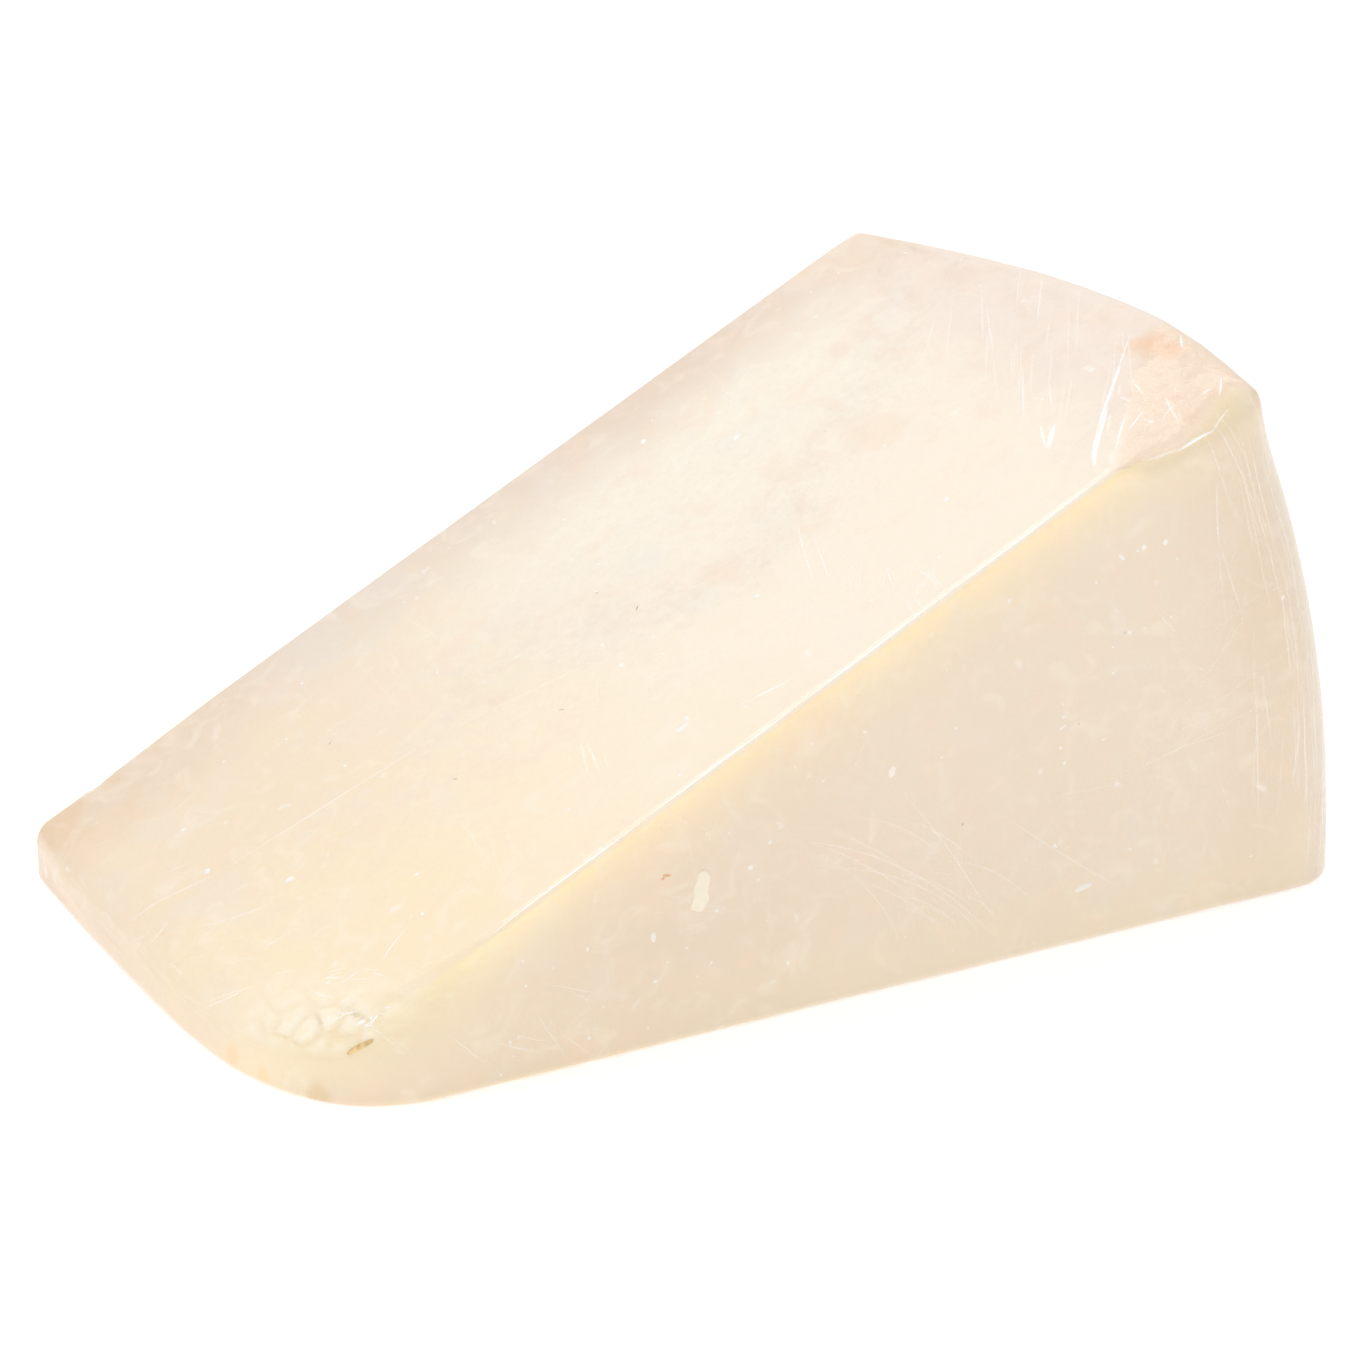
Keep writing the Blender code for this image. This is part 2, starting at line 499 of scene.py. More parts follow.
    def settle(self, p, chip_share=1.0, height=0.0):
        """Move points along the slope of the distance until it is the given height.

        Returns the moved points and the outward directions there.
        """
        for _ in range(SETTLE_STEPS):
            d = self.distance(p, chip_share) - height
            slope = self.slope(p, d + height, chip_share)
            p = p - slope * (d / np.sum(slope ** 2, axis=1))[:, None]
        slope = self.slope(p, self.distance(p, chip_share), chip_share)
        return p, slope / np.linalg.norm(slope, axis=1)[:, None]

    def slope(self, p, d, chip_share):
        """Slope of the distance, by small steps along each axis."""
        step = 1e-6
        parts = [(self.distance(p + step * axis, chip_share) - d) / step for axis in np.eye(3)]
        return np.stack(parts, axis=1)


def add_object(name, points, faces, material, layers=None):
    """Make a smooth mesh object from arrays, with a number on each vertex for each layer."""
    mesh = bpy.data.meshes.new(name)
    mesh.from_pydata(points.tolist(), [], faces.tolist())
    for key, values in (layers or {}).items():
        layer = mesh.attributes.new(key, 'FLOAT', 'POINT')
        layer.data.foreach_set("value", values.astype(np.float32))
    mesh.materials.append(material)
    mesh.shade_smooth()
    piece = bpy.data.objects.new(name, mesh)
    bpy.context.scene.collection.objects.link(piece)
    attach(piece, "root")
    return piece


# ---- Cheese ----

def torn_line(radius):
    """Distance from the front at which the split of the top cut is torn, along the wedge."""
    outer = np.clip((radius - 0.130) / 0.053, 0.0, 1.0) ** 1.5
    inner = np.clip((0.128 - radius) / 0.036, 0.0, 1.0)
    return 0.042 + 0.038 * outer + 0.018 * inner


def cheese_relief(wedge, p, normal):
    """Depth of the cheese below its smooth form, with three masks for its tints.

    The masks tell where it is broken, where it is torn and where curds meet in a seam; the seam
    mask also places painted shade in those crevices.

    The top cut was split, so it has slow waves and shallow torn pits, most of them along a
    curved line. The flat face of the wheel has faint waves only. The two broken corners are
    coarse.
    """
    s = wedge.s
    radius = np.hypot(p[:, 0], p[:, 2])
    y = p[:, 1]
    on_top = ramp(normal[:, 2], 0.6, 0.85)
    inside = ramp(y, 0.0, 0.006) * ramp(wedge.width - y, 0.0, 0.005)
    inside *= ramp(radius, 0.020, 0.030) * ramp(wedge.rind(y) - radius, 0.0, 0.002)

    chip = wedge.facet(radius, y) * on_top
    tip = np.exp(-(y / 0.023) ** 2) * (1.0 - ramp(radius + 0.5 * y, 0.032, 0.048))
    tip *= ramp(p[:, 2], 0.003, 0.008) * ramp(normal[:, 2], 0.2, 0.5)
    broken = np.clip(chip + tip, 0.0, 1.0)

    stray = 0.004 * lattice_noise(p, 0.015, 5)
    torn = np.exp(-((y - torn_line(radius) + stray) / 0.010) ** 2) * ramp(radius, 0.062, 0.090)
    torn = np.clip(torn + 0.6 * ramp(radius, 0.178, 0.190), 0.0, 1.0) * inside * on_top

    waves = 0.5 + 0.5 * rough_noise(p * (0.6, 1.0, 0.8), 0.030, 3, 11) / 1.6
    ridges = 1.0 - np.abs(rough_noise(p * (0.7, 1.2, 0.9), 0.007, 4, 21)) / 1.2
    crumbs = 0.5 + 0.5 * rough_noise(p, 0.0062, 4, 41) / 1.6
    warp = np.stack([lattice_noise(p, 0.004, 50 + axis) for axis in range(3)], axis=1)
    seams = cracks(p + 0.0012 * warp, 0.0046, 45) * tip
    faint = 0.5 + 0.5 * rough_noise(p, 0.018, 3, 31) / 1.6
    depth = s.faint_depth * faint + on_top * inside * s.wave_depth * waves
    depth += torn * s.tear_depth * ridges ** 2
    depth += (s.facet_depth * chip + s.crumb_depth * tip) * crumbs + s.seam_depth * seams
    return depth, broken, torn, seams


def cheese_stains(g, place, wedge, tint, stir):
    """Single stains: each a soft ball of tint round a point of the surface."""
    stains = [
        (wedge.on_cut([(0.2008, 0.0238)]), 0.0050, (0.84, 0.54, 0.34), 0.90),
        (wedge.on_cut([(0.2023, 0.0197)]), 0.0042, (0.84, 0.54, 0.34), 0.90),
        (wedge.on_cut([(0.1990, 0.0266)]), 0.0030, (0.86, 0.60, 0.42), 0.60),
        (np.array([(0.0168, 0.0243, 0.0023)]), 0.0026, (0.97, 0.68, 0.38), 0.80),
        (np.array([(0.0187, 0.0174, 0.0016)]), 0.0020, (0.95, 0.66, 0.36), 0.70),
        (np.array([(0.0240, 0.0080, 0.0008)]), 0.0034, (0.78, 0.58, 0.36), 0.80),
        (wedge.on_cut([(0.1620, 0.0490)]), 0.0060, (0.88, 0.68, 0.52), 0.45),
        (wedge.on_cut([(0.1260, 0.0440)]), 0.0050, (0.88, 0.68, 0.52), 0.45),
        (wedge.on_cut([(0.1710, 0.0760)]), 0.0040, (0.84, 0.66, 0.54), 0.60),
        (wedge.on_cut([(0.1190, 0.0600)]), 0.0060, (0.80, 0.76, 0.69), 0.35),
        (wedge.on_cut([(0.1200, 0.0410)]), 0.0050, (0.80, 0.76, 0.69), 0.35),
        (wedge.on_cut([(0.0740, 0.0980)]), 0.0080, (0.76, 0.71, 0.64), 0.35),
        (wedge.on_cut([(0.0880, 0.1000)]), 0.0080, (0.76, 0.71, 0.64), 0.35),
    ]
    for centre, radius, colour_there, strength in stains:
        centre = tuple(float(v) for v in centre[0] + wedge.origin)
        away = g.node("ShaderNodeVectorMath", {"operation": 'DISTANCE'},
                      {0: place, 1: centre}, 1)
        near = 1.0 - g.step(away + stir * radius * 1.6, radius * 0.35, radius)
        tint = g.mix(near * strength, tint, colour_there)
    return tint


def cheese_material(colours, wedge):
    """Pale cheese whose tint drifts over each face, with mottling and pale flecks.

    Two tints along the wedge, from the thin end to the rind, are blended across the top cut in
    three bands. The flat face carries a painted glow just under the crest, as exp(-depth / 5 mm),
    and painted shade over the rest of it; the thin end carries painted shade too.
    """
    g = Graph("cheese")
    place = g.node("ShaderNodeTexCoord", None, None, "Object")
    x, y, z = g.split(g.vector('SUBTRACT', place, tuple(wedge.origin)))
    radius = (x * x + z * z).math('SQRT')
    below = x * float(wedge.sin) - z * float(wedge.cos) + float(wedge.s.lift)
    broken = g.node("ShaderNodeAttribute", {"attribute_name": "broken"}, None, "Fac")
    torn = g.node("ShaderNodeAttribute", {"attribute_name": "torn"}, None, "Fac")
    seams = g.node("ShaderNodeAttribute", {"attribute_name": "seams"}, None, "Fac")

    broad = g.noise(place, 45.0, 3.0, 0.55, 0.6)
    patch = g.noise(place, 130.0, 4.0, 0.6, 0.8)
    fine = g.noise(place, 650.0, 4.0, 0.65)
    stir = (broad - 0.5) * 0.9 + (patch - 0.5) * 0.5

    outward = g.step(radius + stir * 0.050, 0.045, 0.130)
    front = g.mix(outward, colours.butter, colours.cream)
    middle = g.mix(outward, colours.straw, colours.wax)
    far = g.mix(g.step(radius + stir * 0.040, 0.025, 0.065), colours.toast, colours.dusk)
    far = g.mix(g.step(radius + stir * 0.040, 0.095, 0.140), far, colours.sand)
    top = g.mix(g.step(y + stir * 0.040, 0.022, 0.078), front, middle)
    top = g.mix(g.step(y + stir * 0.016, 0.078, wedge.width), top, far)
    by_rind = g.step(radius + stir * 0.030, 0.168, 0.196)
    top = g.mix(by_rind * 0.9, top, colours.blush)
    top = g.mix(by_rind * g.step(y + stir * 0.012, 0.084, 0.096) * 0.8, top, colours.crust)

    side = g.mix(g.step(x + stir * 0.040, 0.070, 0.130), colours.oat, colours.tan)
    side = g.mix(g.step(x, 0.172, 0.190) * 0.8, side, colours.clay)
    # Painted glow: a gold band of light through the crest, painted on the flat face under it.
    glow = (below * -200.0 + stir * 0.5).math('EXPONENT').math('MINIMUM', 1.0)
    side = g.mix(glow, side, colours.painted_glow_tint)

    on_rind = g.step(radius, 0.2035, 0.2055)
    side = g.mix(on_rind * (0.6 + stir), side, colours.rind)

    at_tip = (1.0 - g.step(x, 0.030, 0.060)) * g.step(y, 0.006, 0.022)
    near_top = below - y.math('MINIMUM', 0.004) * 0.6
    on_top = (1.0 - g.step(near_top, 0.0002, 0.0009)).math('MAXIMUM', at_tip)
    on_base = 1.0 - g.step(z, 0.0002, 0.0012)
    tint = g.mix(on_top.math('MAXIMUM', broken).math('MAXIMUM', on_base), side, top)

    clean = on_top * (1.0 - g.step(y + stir * 0.040, 0.020, 0.045)) * 0.6
    blotchy = 1.0 - clean
    warm = blotchy * g.step(patch, 0.50, 0.68) * 0.36
    tint = g.mix(warm, tint, colours.peach)
    cool = blotchy * g.step(g.noise(place, 90.0, 3.0, 0.5, 0.5), 0.52, 0.70) * 0.22
    tint = g.mix(cool, tint, colours.fog)
    pale = (1.0 - torn * 0.5) * g.step(g.noise(place, 160.0, 4.0, 0.6, 1.2), 0.50, 0.72) * 0.32
    tint = g.mix(pale, tint, colours.milk)
    tint = g.mix(blotchy * g.step(fine, 0.40, 0.75) * 0.22, tint, colours.grit)
    ragged = torn * g.step(patch + (fine - 0.5) * 0.6, 0.42, 0.62) * 0.24
    tint = g.mix(ragged, tint, colours.tear)

    rough = g.noise(place, 380.0, 4.0, 0.7, 0.8)
    grain = g.noise(place, 800.0, 4.0, 0.7, 0.5)
    outer = g.step(radius, 0.100, 0.120)
    tint = g.mix(broken * 0.9, tint, g.mix(outer, colours.curd, colours.facet))
    tint = g.mix(broken * g.step(rough + (grain - 0.5), 0.48, 0.62) * 0.50, tint,
                 g.mix(outer, colours.crumb, colours.ember))
    tint = g.mix(broken * g.step(grain, 0.55, 0.70) * 0.4, tint, colours.chalk)
    # Painted shade in the seams between the curds.
    tint = g.mix(seams * 0.55, tint, colours.seam_shade)
    tint = cheese_stains(g, place, wedge, tint, stir)
    flecks = g.step(g.noise(place, 210.0, 2.0, 0.5), 0.70, 0.76)
    tint = g.mix(flecks * 0.45, tint, colours.chalk)

    # Painted shade: the flat face's tint is darkened, more higher up and beside the rind. Where
    # the mask lit is set (top cut, broken places, bottom) the tint is left as it is.
    shade = g.mix(g.step(z, 0.0, 0.022), PAINTED_SHADE_LOW, PAINTED_SHADE_MIDDLE)
    high = g.step(radius + stir * 0.010, 0.176, 0.196) * g.step(z, 0.020, 0.060)
    shade = g.mix(high, shade, PAINTED_SHADE_HIGH)
    shade = g.mix(g.step(radius, 0.1965, 0.2030), shade, PAINTED_SHADE_RIM)
    # Painted glow under the crest, painted brighter at the nose.
    shade = g.mix(glow, shade, PAINTED_GLOW_FACTOR)
    shade = g.mix(glow * (1.0 - g.step(x, 0.040, 0.075)), shade, PAINTED_NOSE_GLOW)
    lit = on_top.math('MAXIMUM', broken).math('MAXIMUM', on_base)
    tint = g.vector('MULTIPLY', tint, g.mix(lit, shade, WHITE))
    # Painted shade: the rounded thin end is darkened where it turns down from the top cut.
    end = at_tip * g.step(below, 0.0012, 0.0060) * g.step(y, 0.008, 0.040)
    tint = g.vector('MULTIPLY', tint, g.mix(end, WHITE, PAINTED_SHADE_END))

    surface = g.node("ShaderNodeBsdfPrincipled", None, {
        "Base Color": tint,
        "Roughness": 0.5,
        "Normal": g.bump(fine * 0.6 + (rough + grain) * (broken + torn * 0.5), 0.0004, 0.5),
    })
    return g.finish(surface)


class WEDGE_OT_cheese(bpy.types.Operator):
    """Build the cheese with its relief"""

    bl_idname = "wedge.cheese"
    bl_label = "Build cheese"

    def execute(self, context):
        wedge = Wedge(context.scene.wedge_sizes)
        p, normal, faces = wedge.surface()
        depth, broken, torn, seams = cheese_relief(wedge, p, normal)
        p = p - normal * depth[:, None]
        p[:, 2] = np.maximum(p[:, 2], 0.0002)
        material = cheese_material(context.scene.wedge_cheese, wedge)
        piece = add_object("cheese", p + wedge.origin, faces, material,
                           {"broken": broken, "torn": torn, "seams": seams})
        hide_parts(NODE)
        return {'FINISHED'}


# ---- Marks ----

def lumps(wedge, places, along, sizes, sink, seed):
    """Small uneven lumps that sit in the cheese.

    Each lump is a box grid swelled to a ball, made uneven by lattice noise and stretched by its
    three half sizes. Its third axis points out of the cheese, its first lies along a
    direction, and its centre is sunk below the surface. Returns the vertices and the faces.
    """
    ball, faces = box_shell(LUMP_CELLS, LUMP_CELLS, LUMP_CELLS)
    ball = ball * 2.0 - 1.0
    ball = ball / np.linalg.norm(ball, axis=1)[:, None]
    count = len(places)
    centre, up = wedge.settle(places)
    depth = cheese_relief(wedge, centre, up)[0]
    side = np.cross(up, along)
    side /= np.linalg.norm(side, axis=1)[:, None]
    axes = np.stack((np.cross(side, up), side, up), axis=1)
    shift = np.arange(count)[:, None, None] * 3.7
    bumps = 1.0 + 0.28 * rough_noise((ball + shift).reshape(-1, 3), 0.9, 2, seed)
    local = ball * bumps.reshape(count, -1, 1) * sizes[:, None]
    points = centre[:, None] + np.einsum("nij,njk->nik", local, axes)
    points = points - up[:, None] * np.reshape(sink + depth, (-1, 1, 1))
    faces = faces + np.arange(count)[:, None, None] * len(ball)
    return points.reshape(-1, 3), faces.reshape(-1, 4)


def plain_material(name, tint, depth):
    """A matte finish of one tint that is deepened by fine noise."""
    g = Graph(name)
    place = g.node("ShaderNodeTexCoord", None, None, "Object")
    fine = g.noise(place, 900.0, 3.0, 0.6)
    dark = tuple(value * (1.0 - depth) for value in tint)
    return g.finish(g.node("ShaderNodeBsdfPrincipled", None, {
        "Base Color": g.mix(g.step(fine, 0.35, 0.65), dark, tint), "Roughness": 0.5,
        "Normal": g.bump(fine, 0.0002, 0.5)}))


def crystal_lumps(wedge, place, large, small, seed):
    """White crystals on one face: the larger ones one by one, then small ones strewn over it."""
    rng = np.random.default_rng(seed)
    spots = np.concatenate((large, small))
    size = spots[:, 2:] * 0.001
    sizes = size * rng.uniform((0.7, 0.45, 0.16), (1.2, 0.9, 0.24), (len(size), 3))
    along = rng.normal(0.0, 1.0, (len(size), 3))
    return lumps(wedge, place(spots[:, :2]), along, sizes, sizes[:, 2] * 0.5, seed + 1)


def top_crystals(wedge):
    """Crystals on the top cut."""
    rng = np.random.default_rng(31)
    large = [(0.158, 0.022, 0.9), (0.101, 0.015, 1.5), (0.1025, 0.0165, 0.9), (0.126, 0.032, 0.7),
             (0.103, 0.039, 0.7), (0.033, 0.062, 0.9), (0.041, 0.046, 1.2), (0.035, 0.076, 0.6),
             (0.137, 0.089, 0.7), (0.147, 0.073, 0.8), (0.104, 0.048, 0.5)]
    small = np.stack((rng.uniform(0.045, 0.198, 70), rng.uniform(0.004, 0.098, 70),
                      rng.uniform(0.18, 0.45, 70)), 1)
    return crystal_lumps(wedge, wedge.on_cut, large, small, 71)


def front_crystals(wedge):
    """Crystals on the flat face."""
    rng = np.random.default_rng(37)
    large = [(0.119, 0.038, 1.1), (0.155, 0.010, 1.3), (0.150, 0.039, 0.6), (0.160, 0.066, 0.7),
             (0.164, 0.067, 0.6), (0.168, 0.067, 0.7), (0.077, 0.019, 0.9), (0.088, 0.021, 0.6)]
    x = rng.uniform(0.050, 0.192, 60)
    small = np.stack((x, rng.uniform(0.05, 0.90, 60) * x * wedge.sin / wedge.cos,
                      rng.uniform(0.18, 0.50, 60)), 1)
    return crystal_lumps(wedge, wedge.on_front, large, small, 73)


def gash_lump(wedge):
    """A dark orange lump in the broken thin end: painted shade of a slit."""
    return lumps(wedge, np.array([(0.0288, 0.0040, 0.0100)]), np.array([(3.9, -2.1, 2.6)]),
                 np.array([(0.0023, 0.00036, 0.00030)]), np.array([-0.0002]), 79)


def speck_lumps(wedge):
    """A crooked orange grain on the flat face."""
    along = np.array([(1.0, 0.0, -0.2), (1.0, 0.0, 0.8)])
    sizes = np.array([(0.75, 0.24, 0.12), (0.40, 0.24, 0.12)]) * 0.001
    places = wedge.on_front([(0.0794, 0.0290), (0.0787, 0.0286)])
    return lumps(wedge, places, along, sizes, np.full(2, 0.00005), 81)


def flake_lump(wedge):
    """A tall flake on the flat face, in two parts."""
    along = np.array([(0.15, 0.0, 1.0), (0.5, 0.0, 1.0)])
    sizes = np.array([(2.7, 1.5, 0.13), (1.7, 1.5, 0.12)]) * 0.001
    places = wedge.on_front([(0.0854, 0.0255), (0.0850, 0.0232)])
    return lumps(wedge, places, along, sizes, np.full(2, 0.00004), 87)


def pit_lumps(wedge):
    """Small dark lumps on both faces: painted shade of small pits."""
    places = np.concatenate((
        wedge.on_front([(0.161, 0.053), (0.132, 0.026), (0.153, 0.039)]),
        wedge.on_cut([(0.091, 0.039), (0.1125, 0.0500), (0.071, 0.041), (0.062, 0.071)])))
    along = np.array([(1, 0, 0), (1, 0, 0), (1, 0, 1), (1, -1, 0), (1, 1, 0), (1, -1, 0),
                      (1, 0, 0)], float)
    sizes = np.array([(0.26, 0.22, 0.1), (0.24, 0.20, 0.1), (0.18, 0.16, 0.1), (0.6, 0.10, 0.1),
                      (0.6, 0.10, 0.1), (0.5, 0.10, 0.1), (0.4, 0.10, 0.1)]) * 0.001
    return lumps(wedge, places, along, sizes, np.full(len(sizes), 0.00005), 83)


class WEDGE_OT_marks(bpy.types.Operator):
    """Build the crystals, orange specks and the dark lumps of painted shade in pits and a slit"""

    bl_idname = "wedge.marks"
    bl_label = "Build marks"

    def execute(self, context):
        colours = context.scene.wedge_cheese
        wedge = Wedge(context.scene.wedge_sizes)
        kinds = {
            "crystals_top": (top_crystals, plain_material("chalk", colours.chalk, 0.05)),
            "crystals_front": (front_crystals, plain_material("bone", colours.bone, 0.05)),
            # Painted shade: the slit is a dark lump.
            "gash": (gash_lump, plain_material("slit_shade", colours.slit_shade, 0.35)),
            "specks": (speck_lumps, plain_material("rust", colours.rust, 0.20)),
            "flake": (flake_lump, plain_material("flake", colours.flake, 0.03)),
            # Painted shade: the pits are dark lumps.
            "pits": (pit_lumps, plain_material("pit_shade", colours.pit_shade, 0.30)),
        }
        for name, (shape, material) in kinds.items():
            points, faces = shape(wedge)
            piece = add_object(name, points + wedge.origin, faces, material)
        return {'FINISHED'}


# ---- Film ----

def film_material(settings):
    """Thin clear film: mostly see-through, with gloss, a faint veil and fine creases."""
    g = Graph("film")
    place = g.node("ShaderNodeTexCoord", None, None, "Object")
    creases = g.noise(g.vector('MULTIPLY', place, (60.0, 60.0, 420.0)), 1.0, 4.0, 0.6, 0.6)
    normal = g.bump(creases, 0.0006, 0.5)
    gloss = g.node("ShaderNodeBsdfGlossy", None, {
        "Color": WHITE, "Roughness": settings.roughness, "Normal": normal})
    clear = g.node("ShaderNodeBsdfTransparent", None, {"Color": WHITE})
    mirror = g.node("ShaderNodeFresnel", None, {"IOR": 1.45, "Normal": normal})
    pane = g.node("ShaderNodeMixShader", None, {
        0: mirror.math('MINIMUM', settings.rim_share), 1: clear, 2: gloss})
    cloudy = g.node("ShaderNodeBsdfPrincipled", None, {
        "Base Color": (0.97, 0.97, 0.97), "Roughness": 0.5})
    surface = g.node("ShaderNodeMixShader", None, {0: settings.veil, 1: pane, 2: cloudy})
    return g.finish(surface)


class WEDGE_OT_film(bpy.types.Operator):
    """Build the clear film around the cheese"""

    bl_idname = "wedge.film"
    bl_label = "Build film"

    def execute(self, context):
        wedge = Wedge(context.scene.wedge_sizes)
        settings = context.scene.wedge_film
        p, normal, faces = wedge.surface(FILM_CHIP)
        ripple = np.abs(rough_noise(p * (0.4, 1.0, 1.0), 0.009, 3, 61))
        p = p + normal * (settings.gap + settings.ripple * ripple)[:, None]
        p[:, 2] = np.maximum(p[:, 2], 0.0)
        piece = add_object("film", p + wedge.origin, faces, film_material(settings))
        piece.visible_shadow = False
        piece.visible_diffuse = False
        return {'FINISHED'}


class Folds:
    """A growing list of folds: two ends, a sideways bow, a half width and a strength each."""

    def __init__(self, seed):
        self.rng = np.random.default_rng(seed)
        self.groups = []

    def add(self, start, end, bow=0.0, width=0.0002, strength=0.5):
        """Folds between given ends."""
        count = len(start)
        full = [np.broadcast_to(np.asarray(v, float), count) for v in (bow, width, strength)]
        self.groups.append((start, end, *full))

    def scatter(self, place, count, centre, reach, run, turn, strength, width=0.0002, bow=0.0):
        """Folds with middles within reach of a centre.

        Each runs along a share of the given run, turned by a random part of its length.
        """
        rng = self.rng
        run = np.array(run)
        middle = np.array(centre) + rng.uniform(-1.0, 1.0, (count, len(run))) * reach
        along = run * rng.uniform(0.4, 1.0, (count, 1))
        along = along + rng.normal(0.0, turn * np.linalg.norm(run), (count, len(run)))
        self.add(place(middle - along / 2.0), place(middle + along / 2.0),
                 bow * rng.uniform(0.4, 1.2, count), width * rng.uniform(0.6, 1.4, count),
                 strength * rng.uniform(0.4, 1.2, count))

    def arrays(self):
        """All ends, bows, widths and strengths, each as one array."""
        return [np.concatenate([group[i] for group in self.groups]) for i in range(5)]


def fold_lines(wedge):
    """Every fold of the film, group by group, in metres."""
    folds = Folds(7)
    cut, front, rim = wedge.on_cut, wedge.on_front, wedge.on_rim

    # Painted highlight: the taut line along the crest, a white ribbon where the film catches the
    # light, in overlapping lengths.
    ends = np.linspace(0.0555, 0.1755, 5)
    inset = np.full(4, 0.00035)
    folds.add(cut(np.stack((ends[:-1] - 0.001, inset), 1)),
              cut(np.stack((ends[1:] + 0.001, inset), 1)), 0.0, 0.00018, 0.9)
    folds.add(cut([(0.109, 0.0094), (0.112, 0.0084)]), cut([(0.117, 0.0072), (0.119, 0.0064)]),
              0.0003, 0.00018, 0.5)

    # The seam of the film across the top cut, and lines at the thin end.
    seam = np.array([(0.0175, 0.0640), (0.0330, 0.0584), (0.0745, 0.0525), (0.1040, 0.0420)])
    folds.add(cut(seam[:-1]), cut(seam[1:]), 0.0, 0.0002, [0.40, 0.35, 0.22])
    folds.add(cut([(0.0160, 0.0335), (0.0175, 0.0559), (0.0478, 0.0145)]),
              cut([(0.0250, 0.0270), (0.0228, 0.0556), (0.0414, 0.0113)]),
              0.0004, 0.00016, [0.5, 0.4, 0.7])
    folds.scatter(cut, 16, (0.027, 0.045), (0.010, 0.022), (0.007, -0.006), 0.3, 0.22)
    folds.scatter(cut, 14, (0.034, 0.010), (0.006, 0.007), (0.003, -0.003), 0.4, 0.45)
    folds.scatter(cut, 12, (0.0345, 0.0020), (0.003, 0.002), (0.0012, -0.0014), 0.6, 0.8, 0.00016)

    # A fan pulled tight over the chip beside the rind, with the edge line under it.
    folds.add(cut([(0.2004, 0.0276), (0.1947, 0.0222), (0.1868, 0.0150), (0.1820, 0.0110)]),
              cut([(0.1868, 0.0150), (0.1810, 0.0102), (0.1762, 0.0040), (0.1760, 0.0035)]),
              0.0003, [0.0002, 0.0003, 0.0004, 0.0005], [0.8, 1.0, 1.0, 1.0])
    folds.add(cut([(0.1857, 0.0127), (0.1871, 0.0105), (0.1899, 0.0092), (0.2021, 0.0048)]),
              cut([(0.1823, 0.0089), (0.1806, 0.0043), (0.1849, 0.0067), (0.1993, 0.0010)]),
              0.0, 0.0002, [0.5, 0.7, 0.6, 0.9])
    folds.add(front([(0.1637, 0.0815), (0.1695, 0.0820), (0.1760, 0.0840)]),
              front([(0.1715, 0.0824), (0.1765, 0.0843), (0.1794, 0.0878)]),
              -0.0002, [0.0002, 0.0003, 0.0002], [0.35, 0.8, 0.45])
    folds.add(cut([(0.2049, 0.0199), (0.1777, 0.0223), (0.1790, 0.0198)]),
              cut([(0.2027, 0.0165), (0.1745, 0.0155), (0.1745, 0.0150)]),
              0.0, [0.00025, 0.0003, 0.0006], [0.8, 0.5, 0.8])
    folds.scatter(cut, 26, (0.1900, 0.0400), (0.010, 0.022), (-0.011, -0.016), 0.05, 0.30)
    folds.scatter(cut, 12, (0.1930, 0.0120), (0.006, 0.008), (-0.003, -0.003), 0.4, 0.45)

    # Wrinkles of the top cut.
    folds.scatter(cut, 12, (0.1425, 0.0090), (0.006, 0.008), (-0.003, -0.008), 0.20, 0.40, 0.00016)
    folds.scatter(cut, 5, (0.1370, 0.0240), (0.003, 0.008), (-0.007, -0.017), 0.10, 0.30)
    folds.scatter(cut, 4, (0.0870, 0.0220), (0.002, 0.004), (-0.003, -0.010), 0.05, 0.28)
    folds.scatter(cut, 5, (0.0660, 0.0180), (0.003, 0.010), (-0.005, -0.022), 0.05, 0.14)
    folds.scatter(cut, 5, (0.0760, 0.0800), (0.003, 0.010), (-0.005, -0.030), 0.05, 0.12)
    folds.scatter(cut, 24, (0.1150, 0.0500), (0.055, 0.042), (-0.005, -0.012), 0.30, 0.09)
    folds.add(cut([(0.0280, 0.1010), (0.0300, 0.1020)]), cut([(0.0372, 0.1028), (0.0350, 0.1022)]),
              0.0004, [0.0007, 0.0005], 1.0)

    # Arcs that meet at the foot of the flat face, and fainter lines to both sides.
    folds.add(front([(0.099, 0.031), (0.103, 0.025), (0.119, 0.036), (0.137, 0.028),
                     (0.106, 0.027)]),
              front([(0.139, 0.004), (0.137, 0.004), (0.139, 0.006), (0.164, 0.007),
                     (0.121, 0.007)]),
              [-0.0040, -0.0045, -0.0010, 0.0005, -0.0020], 0.0002, [0.17, 0.14, 0.16, 0.14, 0.12])
    folds.scatter(front, 14, (0.124, 0.018), (0.014, 0.009), (0.022, -0.015), 0.05, 0.12,
                  bow=-0.002)
    folds.scatter(front, 9, (0.055, 0.009), (0.010, 0.006), (0.012, -0.008), 0.20, 0.16)
    folds.scatter(front, 10, (0.176, 0.040), (0.012, 0.020), (0.030, 0.008), 0.30, 0.10)
    folds.scatter(front, 22, (0.130, 0.030), (0.060, 0.024), (0.010, -0.004), 0.50, 0.09)

    # Upright creases beside the rim.
    folds.scatter(rim, 60, (0.0060, 0.0450), (0.005, 0.040), (0.0010, -0.026), 0.03, 0.22, 0.00014)
    folds.scatter(rim, 14, (0.0150, 0.0500), (0.006, 0.034), (0.0020, -0.024), 0.06, 0.20)
    return folds.arrays()


